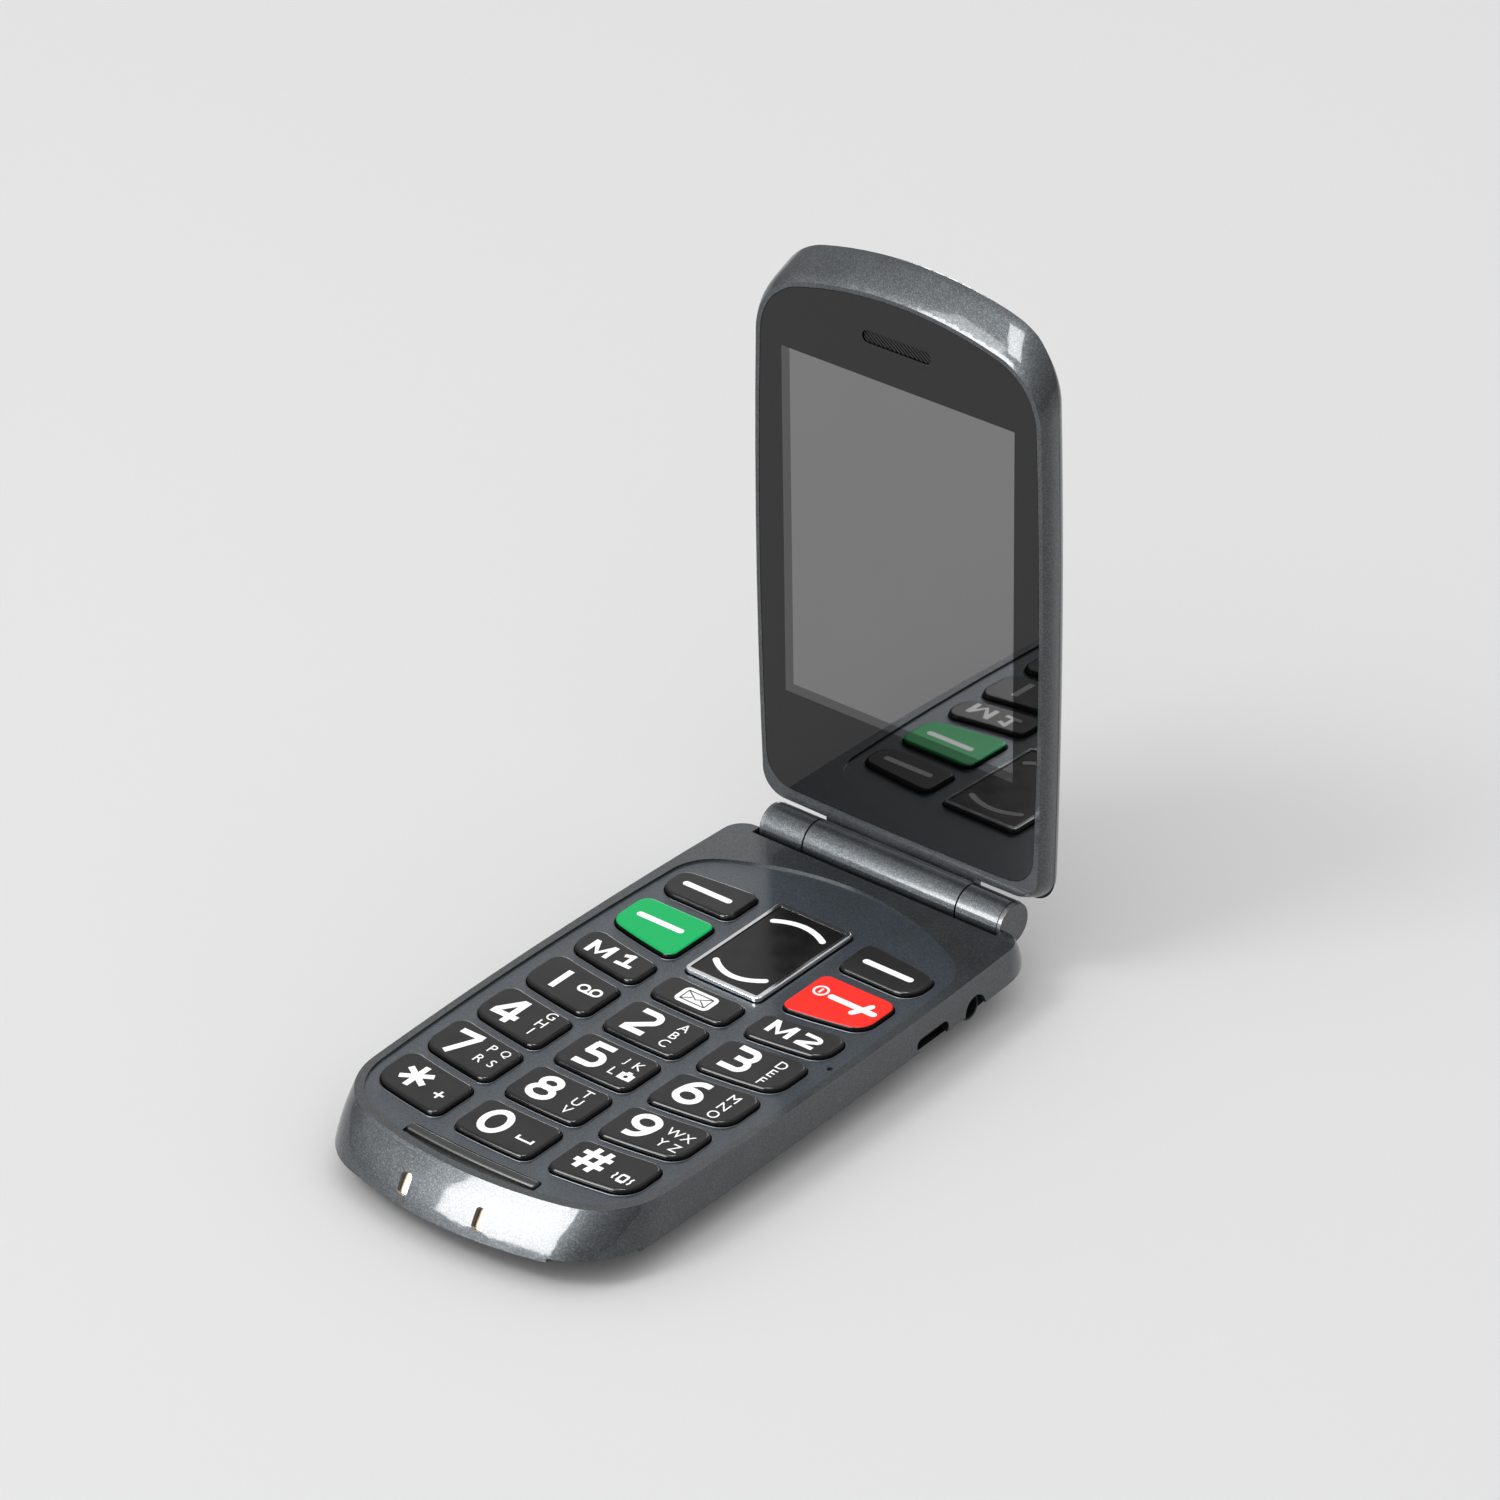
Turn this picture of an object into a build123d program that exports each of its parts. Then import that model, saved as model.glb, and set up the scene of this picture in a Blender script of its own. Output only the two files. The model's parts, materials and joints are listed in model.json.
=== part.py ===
from build123d import *
import os

# A big-button clamshell phone, standing open. Millimetres, +Z up, +X to the user's right, +Y towards the hinge.
# The origin is the middle of the flat back that the phone rests on.

# ---------------------------------------------------------------- overall sizes
HALF_WIDTH = 28.6           # half the width at the middle of the casing
HALF_WIDTH_END = 27.3       # half the width at the casing's two ends
NOSE_Y = -52.1              # front end of the casing, at the seam
TAIL_Y = 55.5               # rear end of the casing, carried down to the height of the nose's seam
NOSE_SLOPE = 4.9            # how far the nose leans back between the seam and the rim
TAIL_SLOPE = 8.3            # the same at the tail
SEAM_NOSE = 4.1             # height at the nose of the joint line between casing and battery cover
SEAM_RISE = 1.7             # how much higher that line is at the tail
PANEL_Z = 10.6              # the face that the keys stand out of
RIM_RISE = 0.35             # the rim round the sunken key panel
RIM_WIDTH = 1.3
WALL = 1.3                  # side walls of the casing
PANEL_WALL = 0.8            # the plate that the keys come through
SEAM_GAP = 0.15

# ---------------------------------------------------------------- hinge
AXIS_Y = 49.8
AXIS_Z = 10.44
BARREL_R = 3.45
BARREL_HALF = 14.5          # half the length of the lid's middle barrel
KNUCKLE_OUT = 22.4          # outer end of the casing's knuckles
KNUCKLE_GAP = 0.3           # slit between barrel and knuckle
TROUGH_GAP = 0.4            # air round the barrel
CAP_WIDTH = 0.8
PIN_R = 1.9                 # hinge cartridge and bush
PIN_RUN = 0.05              # running clearance of the lid on them
REST_LEAN = 1.7             # the lid leans back this far past upright, degrees

# ---------------------------------------------------------------- lid, measured from the hinge axis
LID_GAP = 1.3               # air between the panel and the closed lid
LID_HALF = 27.4             # half the width at the lid's own seam
LID_TOP = 98.4              # tip of the lid
LID_LOW = 3.7               # bottom edge of its front face
LID_TUCK = 2.1              # how much lower the bottom edge is at the seam
LID_DEPTH = 8.5             # front face to back face
LID_SEAM = 3.6              # front face to the seam at the sides
LID_SEAM_TIP = 5.0          # the same at the tip
GLASS_MARGIN = 0.75         # frame showing round the glass at the sides and the tip
GLASS_LOW = 5.85
GLASS_TOP = 93.6
GLASS_THICK = 0.8
VIEW_HALF = 21.6            # clear opening over the display
VIEW_LOW = 22.9
VIEW_TOP = 80.6
LID_WALL = 1.2

# ---------------------------------------------------------------- keys
KEY_PROUD = 0.85
KEY_TRAVEL = 0.4
KEY_GAP = 0.22              # air between a key and its hole
KEY_FLANGE = 0.45
MIDDLE_HALF = 7.1           # half the width of the middle keys
SIDE_IN = 10.3              # inner edge of the side keys
SIDE_OUT = 24.3             # outer edge of the side keys
ROW_PITCH = 10.585
ROW_LOW = -40.1             # lower edge of the lowest row, on the centre line
ROW_HIGH = 8.65             # height of a number key
ROW_RISE = 2.44             # how far the rows curve up towards their ends

# ---------------------------------------------------------------- inside
BOARD_Z = 7.5
BOARD_THICK = 0.65
DOME_RISE = 0.25
MAT_THICK = 0.3
HOUSING_Z = 5.5
HOUSING_THICK = 1.1
COVER_FLOOR = 1.1
BATTERY = (36.0, 52.0, 4.0)
BATTERY_Y = 4.0
FIT = 0.2                   # clearance round a part in its pocket

# ---------------------------------------------------------------- sockets
USB_Y = 24.4
USB_Z = 6.25
USB_OPENING = (7.4, 2.3)
JACK_Y = 34.5
JACK_Z = 5.45
JACK_BORE_R = 1.8
JACK_HOLE_R = 2.1
CONTACT_X = 7.1
CONTACT_SLOT = (2.0, 3.3)

RIM_Z = PANEL_Z + RIM_RISE
UNDER_PANEL = PANEL_Z - PANEL_WALL
KEY_TOP = PANEL_Z + KEY_PROUD
LID_SET = PANEL_Z + LID_GAP - AXIS_Z        # the lid's front face lies this far behind the axis
MAT_Z = BOARD_Z + BOARD_THICK + DOME_RISE + 0.02
FLANGE_Z = MAT_Z + MAT_THICK + KEY_TRAVEL + 0.04
LID_PLACE = Pos(0, AXIS_Y, AXIS_Z) * Rot(90 - REST_LEAN, 0, 0)


# ---------------------------------------------------------------- helpers
def box(x0, x1, y0, y1, z0, z1):
    """A block given by its limits."""
    middle = ((x0 + x1) / 2, (y0 + y1) / 2, (z0 + z1) / 2)
    return Pos(*middle) * Box(x1 - x0, y1 - y0, z1 - z0)


def rod(radius, x0, x1, y=AXIS_Y, z=AXIS_Z):
    """A round bar along X."""
    return Pos((x0 + x1) / 2, y, z) * Rot(0, 90, 0) * Cylinder(radius, x1 - x0)


def post(radius, x, y, z0, z1):
    """A round bar along Z."""
    return Pos(x, y, (z0 + z1) / 2) * Cylinder(radius, z1 - z0)


def edge(a, middle, b):
    """The arc a-middle-b, or a straight line where the three points are in line."""
    (ax, ay), (mx, my), (bx, by) = a, middle, b
    bulge = abs((bx - ax) * (my - ay) - (by - ay) * (mx - ax))
    return Line(a, b) if bulge < 0.01 else ThreePointArc(a, middle, b)


def plan(half, half_end, low, high, low_bow, high_bow, low_r, high_r):
    """The phone's outline from above: bowed sides and ends, with round corners."""
    y0, y1 = low + low_bow, high - high_bow
    middle = (y0 + y1) / 2
    lines = [
        edge((-half_end, y0), (0, low), (half_end, y0)),
        edge((half_end, y0), (half, middle), (half_end, y1)),
        edge((half_end, y1), (0, high), (-half_end, y1)),
        edge((-half_end, y1), (-half, middle), (-half_end, y0)),
    ]
    face = make_face(Curve() + lines)
    face = fillet(face.vertices().sort_by(Axis.Y)[:2], low_r)
    return fillet(face.vertices().sort_by(Axis.Y)[-2:], high_r)


def stack(sections):
    """A smooth body through outlines at rising heights."""
    return loft([Pos(0, 0, z) * plan(*sizes) for z, sizes in sections])


def stadium(length, height):
    """A slot outline with round ends."""
    return SlotOverall(length, height)


# ---------------------------------------------------------------- casing body
def seam_at(y):
    """Height of the joint line between the casing and the battery cover, which climbs towards the tail."""
    return SEAM_NOSE + SEAM_RISE * (y - NOSE_Y) / (TAIL_Y - NOSE_Y)


def seam_half(gap, limit):
    """Everything between the joint line, lowered by gap, and the height limit."""
    points = [(-80, seam_at(-80) - gap), (80, seam_at(80) - gap), (80, limit), (-80, limit)]
    lines = [Line(points[i], points[(i + 1) % 4]) for i in range(4)]
    return extrude(Plane.YZ * make_face(Curve() + lines), 40, both=True)


def casing_sizes(level, inset):
    """Outline of the casing. level is 0 at the nose's seam and 1 at the rim; the ends bulge in between."""
    lean = level ** 1.35
    return (
        HALF_WIDTH - inset,
        HALF_WIDTH_END + 0.4 * (1 - level) - inset,
        NOSE_Y + NOSE_SLOPE * lean + inset,
        TAIL_Y - TAIL_SLOPE * lean - inset,
        5.6 - 0.4 * level,
        6.0 * (1 - level) + 0.4,
        13.0 - level - inset,
        11.0 - 7.5 * level,
    )


def casing_body(inset, top, tail=None):
    """The casing's outer form, or with an inset the hollow inside it, from the nose's seam up to top."""
    sections = []
    for share in (0, 0.5, 1):
        z = SEAM_NOSE + (top - SEAM_NOSE) * share
        level = (z - SEAM_NOSE) / (RIM_Z - SEAM_NOSE)
        sizes = list(casing_sizes(level, inset))
        if tail is not None:
            sizes[3], sizes[5], sizes[7] = tail, 0.0, 4.0
        sections.append((z, sizes))
    return stack(sections)


# ---------------------------------------------------------------- key outlines
def row_edge(y, rise):
    """The height of a curved row edge at x."""
    return lambda x: y + rise * (x / SIDE_OUT) ** 2


def key_face(x0, x1, low, high, radii, grow=0.0):
    """A key's outline between two curved edges, made larger all round by grow."""
    x0, x1, xm = x0 - grow, x1 + grow, (x0 + x1) / 2
    lines = [
        edge((x0, low(x0) - grow), (xm, low(xm) - grow), (x1, low(x1) - grow)),
        Line((x1, low(x1) - grow), (x1, high(x1) + grow)),
        edge((x1, high(x1) + grow), (xm, high(xm) + grow), (x0, high(x0) + grow)),
        Line((x0, high(x0) + grow), (x0, low(x0) - grow)),
    ]
    face = make_face(Curve() + lines)
    corners = [(x0, low(x0) - grow), (x1, low(x1) - grow), (x1, high(x1) + grow), (x0, high(x0) + grow)]
    for (x, y), radius in zip(corners, radii):
        corner = face.vertices().sort_by_distance((x, y, 0))[0]
        face = fillet(corner, radius + grow)
    return face


def number_row(k):
    """The two curved edges of number row k, counted from the lowest."""
    y = ROW_LOW + k * ROW_PITCH
    return row_edge(y, ROW_RISE), row_edge(y + ROW_HIGH, ROW_RISE)


MEMORY_ROW = (row_edge(ROW_LOW + 4 * ROW_PITCH, ROW_RISE), row_edge(8.3, 2.9))
CALL_ROW = (row_edge(10.7, 3.1), row_edge(21.9, 0.0))
SOFT_ROW = (row_edge(24.35, 0.0), row_edge(32.3, -1.7))
NAV_ROW = (row_edge(10.4, 0.6), row_edge(32.5, -0.6))

MIDDLE_R = (1.7, 1.7, 1.7, 1.7)
RIGHT_R = (1.6, 3.1, 2.1, 1.6)      # inner low, outer low, outer high, inner high
LOW_RIGHT_R = (1.6, 3.9, 2.1, 1.6)
NAV_R = (1.0, 1.0, 1.0, 1.0)

# name, column (-1 left, 0 middle, 1 right), row edges, corner radii
KEYS = [
    ("key_star", -1, number_row(0), LOW_RIGHT_R),
    ("key_0", 0, number_row(0), MIDDLE_R),
    ("key_hash", 1, number_row(0), LOW_RIGHT_R),
    ("key_7", -1, number_row(1), RIGHT_R),
    ("key_8", 0, number_row(1), MIDDLE_R),
    ("key_9", 1, number_row(1), RIGHT_R),
    ("key_4", -1, number_row(2), RIGHT_R),
    ("key_5", 0, number_row(2), MIDDLE_R),
    ("key_6", 1, number_row(2), RIGHT_R),
    ("key_1", -1, number_row(3), RIGHT_R),
    ("key_2", 0, number_row(3), MIDDLE_R),
    ("key_3", 1, number_row(3), RIGHT_R),
    ("key_m1", -1, MEMORY_ROW, RIGHT_R),
    ("key_mail", 0, MEMORY_ROW, MIDDLE_R),
    ("key_m2", 1, MEMORY_ROW, RIGHT_R),
    ("key_call", -1, CALL_ROW, RIGHT_R),
    ("key_end", 1, CALL_ROW, RIGHT_R),
    ("key_soft_left", -1, SOFT_ROW, RIGHT_R),
    ("key_soft_right", 1, SOFT_ROW, RIGHT_R),
]


def outline(column, row, radii, grow=0.0):
    """The outline of the key in one column and row."""
    if column == 0:
        return key_face(-MIDDLE_HALF, MIDDLE_HALF, *row, radii, grow)
    face = key_face(SIDE_IN, SIDE_OUT, *row, radii, grow)
    return face if column > 0 else mirror(face, Plane.YZ)


def key(column, row, radii):
    """A key: a cap with a soft edge above a flange that the panel holds down."""
    cap = extrude(Pos(0, 0, FLANGE_Z) * outline(column, row, radii), KEY_TOP - FLANGE_Z)
    cap = fillet(cap.faces().sort_by(Axis.Z)[-1].edges(), 0.5)
    flange = extrude(Pos(0, 0, FLANGE_Z) * outline(column, row, radii, KEY_FLANGE), UNDER_PANEL - 0.1 - FLANGE_Z)
    return cap + flange


def nav_outline(inset):
    """The rocker's outline, set in by inset."""
    return key_face(-MIDDLE_HALF, MIDDLE_HALF, *NAV_ROW, NAV_R, -inset)


NAV_FRAME = 0.7
NAV_Y = (NAV_ROW[0](0) + NAV_ROW[1](0)) / 2
NAV_PIVOT_Z = FLANGE_Z + 0.25


def nav_ring():
    """The bright frame round the rocker, with the two small pivots that hold it under the panel."""
    height = KEY_TOP - FLANGE_Z
    ring = extrude(Pos(0, 0, FLANGE_Z) * nav_outline(0), height)
    ring = fillet(ring.faces().sort_by(Axis.Z)[-1].edges(), 0.2)
    ring -= extrude(Pos(0, 0, FLANGE_Z) * nav_outline(NAV_FRAME), height)
    for side in (-1, 1):
        x = side * (MIDDLE_HALF + 0.25)
        ring += box(x - 0.35, x + 0.35, NAV_Y - 1.5, NAV_Y + 1.5, FLANGE_Z, FLANGE_Z + 0.5)
    return ring


def nav_key():
    """The black rocker plate inside the frame."""
    plate = extrude(Pos(0, 0, FLANGE_Z) * nav_outline(NAV_FRAME), KEY_TOP - 0.15 - FLANGE_Z)
    return fillet(plate.faces().sort_by(Axis.Z)[-1].edges(), 0.15)


# ---------------------------------------------------------------- rest pad for the closed lid
PAD_HALF = 12.2
PAD_RECESS = (row_edge(-45.6, 3.9), row_edge(-42.6, 1.4))
PAD = (row_edge(-44.45, 2.0), row_edge(-42.7, 1.4))
PAD_R = (0.6, 0.6, 0.6, 0.6)
PAD_FLOOR = PANEL_Z - 0.5
PAD_PROUD = 0.45


def lid_rest_pad():
    """The rubber bar that the closed lid rests on."""
    face = key_face(-PAD_HALF, PAD_HALF, *PAD, PAD_R)
    bar = extrude(Pos(0, 0, PAD_FLOOR) * face, PANEL_Z + PAD_PROUD - PAD_FLOOR)
    return fillet(bar.faces().sort_by(Axis.Z)[-1].edges(), 0.5)


# ---------------------------------------------------------------- upper casing
BOSSES = [(17.5, -43.8), (-17.5, -43.8), (19.5, 41.0), (-19.5, 41.0)]
BOSS_R = 1.9
SCREW_R = 0.8
SCREW_HEAD_R = 1.4
VOLUME_Y = 12.0
VOLUME_Z = 8.1
VOLUME_SIZE = (13.0, 2.2)
MIC_PLACE = (25.95, 4.1)
MIC_R = 0.45
NOTCH_START = 18.9          # the nail notch in the joint line, round the front right corner
NOTCH_END = -39.7
NOSE_PLANE = Plane(origin=(0.2, NOSE_Y + 1.8, SEAM_NOSE + 2.8), x_dir=(1, 0, 0), z_dir=(0, -0.81, 0.586))


def hinge_room(half, radius):
    """Space cleared for a part of the hinge: a round trough, open above and behind."""
    room = rod(radius, -half, half)
    room += box(-half, half, AXIS_Y - radius, TAIL_Y + 5, AXIS_Z, RIM_Z + 5)
    return room


def upper_casing():
    """The painted casing: sunken key panel, sloping nose, side walls and the two outer hinge knuckles."""
    body = casing_body(0, RIM_Z)
    body -= hinge_room(KNUCKLE_OUT + CAP_WIDTH + 0.2, BARREL_R + 1.2)
    body += box(-KNUCKLE_OUT, KNUCKLE_OUT, AXIS_Y - BARREL_R - 1.2, AXIS_Y + 1.5, SEAM_NOSE, AXIS_Z - BARREL_R + 1.0)
    for side in (-1, 1):
        inner = BARREL_HALF + KNUCKLE_GAP
        body += rod(BARREL_R, *sorted((side * inner, side * KNUCKLE_OUT)))
        body -= rod(PIN_R + 0.01, *sorted((side * (inner - 1), side * (KNUCKLE_OUT + 1))))
    body -= rod(BARREL_R + TROUGH_GAP, -BARREL_HALF - KNUCKLE_GAP, BARREL_HALF + KNUCKLE_GAP)
    # sunken panel
    recess = plan(
        HALF_WIDTH - RIM_WIDTH, HALF_WIDTH_END - RIM_WIDTH, NOSE_Y + NOSE_SLOPE + RIM_WIDTH, 42.5, 5.2, 8.4, 10.8, 8.0
    )
    body -= extrude(Pos(0, 0, PANEL_Z) * recess, RIM_RISE + 1)
    # the hollow inside
    body -= casing_body(WALL, UNDER_PANEL, tail=43.6)
    for x, y in BOSSES:
        body += post(BOSS_R, x, y, HOUSING_Z + HOUSING_THICK + 0.1, UNDER_PANEL)
        body -= post(SCREW_R + 0.02, x, y, SEAM_NOSE, UNDER_PANEL - 0.4)
    # holes for the keys, the rocker and the pad
    for _, column, row, radii in KEYS:
        body -= extrude(Pos(0, 0, UNDER_PANEL - 1) * outline(column, row, radii, KEY_GAP), PANEL_WALL + 2)
    body -= extrude(Pos(0, 0, UNDER_PANEL - 1) * nav_outline(-KEY_GAP - 0.05), PANEL_WALL + 2)
    body -= extrude(Pos(0, 0, PAD_FLOOR) * key_face(-PAD_HALF, PAD_HALF, *PAD_RECESS, PAD_R, 0.2), 2)
    body -= post(MIC_R, *MIC_PLACE, UNDER_PANEL - 1, RIM_Z + 1)
    # charging contact slots
    for side in (-1, 1):
        slot = Pos(side * CONTACT_X, 0, -1.6) * RectangleRounded(*CONTACT_SLOT, 0.6)
        body -= extrude(NOSE_PLANE * slot, 4)
    # sockets on the right side and the volume key on the left
    usb = Plane.YZ * Pos(USB_Y, USB_Z) * stadium(*USB_OPENING)
    body -= extrude(Pos(HALF_WIDTH_END - 3, 0, 0) * usb, 8)
    body -= rod(JACK_HOLE_R + 0.3, HALF_WIDTH_END - 3, HALF_WIDTH + 2, JACK_Y, JACK_Z)
    volume = Plane.YZ * Pos(VOLUME_Y, VOLUME_Z) * stadium(VOLUME_SIZE[0] + 2 * FIT, VOLUME_SIZE[1] + 2 * FIT)
    body -= extrude(Pos(-HALF_WIDTH - 2, 0, 0) * volume, 6)
    body -= box(NOTCH_START, HALF_WIDTH + 2, NOSE_Y - 2, NOTCH_END, SEAM_NOSE - 1, SEAM_NOSE + 0.55)
    return body - seam_half(0, -10)


def volume_key():
    """The volume rocker in the left wall."""
    face = Plane.YZ * Pos(VOLUME_Y, VOLUME_Z) * stadium(*VOLUME_SIZE)
    cap = extrude(Pos(-HALF_WIDTH - 0.45, 0, 0) * face, WALL + 0.9)
    cap = fillet(cap.faces().sort_by(Axis.X)[0].edges(), 0.4)
    flange = Plane.YZ * Pos(VOLUME_Y, VOLUME_Z) * stadium(VOLUME_SIZE[0] + 1.4, VOLUME_SIZE[1] + 0.6)
    return cap + extrude(Pos(-HALF_WIDTH + WALL + 0.4, 0, 0) * flange, 0.5)


def charging_contacts():
    """Two gilded blades at the bottom of the nose slots."""
    blades = []
    for side in (-1, 1):
        blade = Pos(side * CONTACT_X, 0, -1.55) * RectangleRounded(CONTACT_SLOT[0] - 0.1, CONTACT_SLOT[1] - 0.1, 0.5)
        blades.append(extrude(NOSE_PLANE * blade, 0.5))
    return Compound(blades)


# ---------------------------------------------------------------- hinge pieces
def hinge_cap(side):
    """The round plate that closes a knuckle's outer end."""
    cap = rod(BARREL_R - 0.15, *sorted((side * KNUCKLE_OUT, side * (KNUCKLE_OUT + CAP_WIDTH))))
    return fillet(cap.faces().sort_by(Axis.X)[-1 if side > 0 else 0].edges(), 0.15)


CARTRIDGE_IN = 6.0
BUSH_IN = -11.0


def hinge_cartridge():
    """The spring cartridge pressed in the right knuckle, whose cam end turns in the lid's barrel."""
    return rod(PIN_R, CARTRIDGE_IN, KNUCKLE_OUT - 0.1)


def hinge_bush():
    """The hollow bush on the left, which the display cable passes through."""
    return rod(PIN_R, -KNUCKLE_OUT + 0.1, BUSH_IN) - rod(PIN_R - 0.6, -KNUCKLE_OUT - 1, BUSH_IN + 1)


# ---------------------------------------------------------------- battery cover and rear housing
COVER_LEVELS = (0.0, 1.2, 2.6, 4.1, 6.0)
COVER_TUCK = 6.4            # how far the flat back lies inside the joint line
COVER_TAIL = 54.2           # rear end of the cover at the joint line


def tucked(z, seam, wall):
    """How far the cover is set in at height z where the joint line is at seam, plus a wall."""
    return 0.35 + COVER_TUCK * max(1 - z / seam, 0) ** 0.9 + wall


def cover_sizes(z, wall):
    """Outline of the battery cover at a height, or of the hollow inside its wall."""
    nose = tucked(z, SEAM_NOSE, wall)
    side = tucked(z, seam_at(0), wall)
    tail = tucked(z, seam_at(TAIL_Y), wall)
    half_end = HALF_WIDTH_END + 0.4 - side
    return (HALF_WIDTH - side, half_end, NOSE_Y + nose, COVER_TAIL - tail, 5.6, 6.0, 13 - side, 11 - 0.6 * tail)


def battery_cover():
    """The back: a shallow tray tucked under the casing, with sound slots and a nail notch."""
    tray = stack([(z, cover_sizes(z, 0)) for z in COVER_LEVELS])
    tray -= stack([(z + COVER_FLOOR, cover_sizes(z, WALL)) for z in COVER_LEVELS])
    tray -= seam_half(SEAM_GAP, 20)
    for i in range(4):
        slot = Pos(SPEAKER_X, SPEAKER_Y + (i - 1.5) * 2.0) * SlotOverall(11, 0.9)
        tray -= extrude(Pos(0, 0, -1) * slot, COVER_FLOOR + 2)
    tray -= box(NOTCH_START, HALF_WIDTH + 2, NOSE_Y - 2, NOTCH_END, SEAM_NOSE - 0.6, SEAM_NOSE + 2)
    tray -= box(HALF_WIDTH - 6, HALF_WIDTH + 2, USB_Y - 4.1, USB_Y + 4.1, USB_Z - 1.5, USB_Z)
    tray -= box(HALF_WIDTH - 6, HALF_WIDTH + 2, JACK_Y - JACK_NOTCH, JACK_Y + JACK_NOTCH, JACK_Z, JACK_Z + 2)
    tray -= rod(JACK_NOTCH, HALF_WIDTH - 6, HALF_WIDTH + 2, JACK_Y, JACK_Z)
    return tray


SPEAKER_X, SPEAKER_Y = -2.0, 37.5
JACK_NOTCH = JACK_HOLE_R + 0.3
BAY_WALL = 1.0
BAY_END = 1.5               # room for the contacts at the front end of the battery


def rear_housing():
    """The inner chassis: a plate inside the casing with the walls of the battery bay below it."""
    plate_face = plan(
        HALF_WIDTH - WALL - 0.3, HALF_WIDTH_END - WALL - 0.3, NOSE_Y + WALL + 2.5, 43.3, 5.4, 0.0, 10.5, 4.0
    )
    plate = extrude(Pos(0, 0, HOUSING_Z) * plate_face, HOUSING_THICK)
    half_x, half_y = BATTERY[0] / 2 + FIT, BATTERY[1] / 2 + FIT
    low, high = BATTERY_Y - half_y - BAY_END, BATTERY_Y + half_y
    bay_low = COVER_FLOOR + 0.3
    walls = box(-half_x - BAY_WALL, half_x + BAY_WALL, low - BAY_WALL, high + BAY_WALL, bay_low, HOUSING_Z)
    walls -= box(-half_x, half_x, low, high, bay_low - 1, HOUSING_Z)
    housing = plate + walls
    housing -= box(USB_BACK - FIT, HALF_WIDTH, USB_Y - 4.4, USB_Y + 4.4, HOUSING_Z - 1, BOARD_Z)
    housing -= box(JACK_BACK - FIT, HALF_WIDTH, JACK_Y - 3.4, JACK_Y + 3.4, HOUSING_Z - 1, BOARD_Z)
    for x, y in BOSSES:
        housing -= post(SCREW_R + 0.1, x, y, HOUSING_Z - 1, BOARD_Z)
    return housing


def battery():
    """The battery pack in its bay."""
    pack = Pos(0, BATTERY_Y, COVER_FLOOR + 0.3 + BATTERY[2] / 2) * Box(*BATTERY)
    return fillet(pack.edges().filter_by(Axis.Z), 1.0)


def battery_contacts():
    """Three sprung blades between the battery's end and the bay wall."""
    y = BATTERY_Y - BATTERY[1] / 2 - FIT - BAY_END
    blades = [box(x - 0.6, x + 0.6, y, y + BAY_END, 2.2, 4.6) for x in (-4, 0, 4)]
    return Compound(blades)


def base_screws():
    """The four screws that hold the casing to the rear housing."""
    screws = []
    for x, y in BOSSES:
        head = post(SCREW_HEAD_R, x, y, HOUSING_Z - 0.8, HOUSING_Z)
        screws.append(head + post(SCREW_R, x, y, HOUSING_Z, UNDER_PANEL - 0.8))
    return Compound(screws)


# ---------------------------------------------------------------- boards and keypad layers
BOARD = (24.9, -40.0, 30.4)     # half width, front and rear edge
USB_BACK = 22.0
JACK_BACK = 14.0


def main_board():
    """The main circuit board under the keypad."""
    return box(-BOARD[0], BOARD[0], BOARD[1], BOARD[2], BOARD_Z, BOARD_Z + BOARD_THICK)


def key_centre(column, row):
    """The middle of a key."""
    x = column * (SIDE_IN + SIDE_OUT) / 2
    return x, (row[0](x) + row[1](x)) / 2


def key_domes():
    """The click domes on the board, one under each key and two under the rocker."""
    places = [key_centre(column, row) for _, column, row, _ in KEYS]
    places += [(0, NAV_Y - 7.5), (0, NAV_Y + 7.5)]
    z = BOARD_Z + BOARD_THICK
    return Compound([post(2.5, x, y, z, z + DOME_RISE) for x, y in places if y < BOARD[2] - 2.6])


def keypad_mat():
    """The rubber sheet between the domes and the keys."""
    half = SIDE_OUT + KEY_FLANGE
    return box(-half, half, BOARD[1], BOARD[2] + 3, MAT_Z, MAT_Z + MAT_THICK)


# ---------------------------------------------------------------- sockets and small parts
def usb_socket():
    """The charging socket on the right side."""
    shell = box(USB_BACK, HALF_WIDTH_END - 0.9, USB_Y - 3.9, USB_Y + 3.9, USB_Z - 1.2, BOARD_Z - 0.05)
    mouth = Plane.YZ * Pos(USB_Y, USB_Z) * stadium(6.9, 1.85)
    shell -= extrude(Pos(USB_BACK + 0.8, 0, 0) * mouth, 8)
    return shell + box(USB_BACK + 0.5, HALF_WIDTH_END - 1, USB_Y - 1.9, USB_Y + 1.9, USB_Z - 0.3, USB_Z + 0.2)


def audio_socket():
    """The headset socket: a body on the board side and a round snout in the side wall."""
    body = box(JACK_BACK, 22.4, JACK_Y - 3.0, JACK_Y + 3.0, JACK_Z - 2.2, BOARD_Z - 0.05)
    body += rod(JACK_HOLE_R, 22.4, HALF_WIDTH_END - 0.4, JACK_Y, JACK_Z)
    return body - rod(JACK_BORE_R, JACK_BACK + 0.6, HALF_WIDTH, JACK_Y, JACK_Z)


def loudspeaker():
    """The ringer speaker over the sound slots."""
    box_part = box(SPEAKER_X - 7, SPEAKER_X + 7, SPEAKER_Y - 4.6, SPEAKER_Y + 4.6, COVER_FLOOR + 0.5, HOUSING_Z)
    return fillet(box_part.edges().filter_by(Axis.Z), 2.0)


def speaker_mesh():
    """The fine mesh behind the sound slots."""
    return box(SPEAKER_X - 6.5, SPEAKER_X + 6.5, SPEAKER_Y - 4, SPEAKER_Y + 4, COVER_FLOOR, COVER_FLOOR + 0.15)


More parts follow.
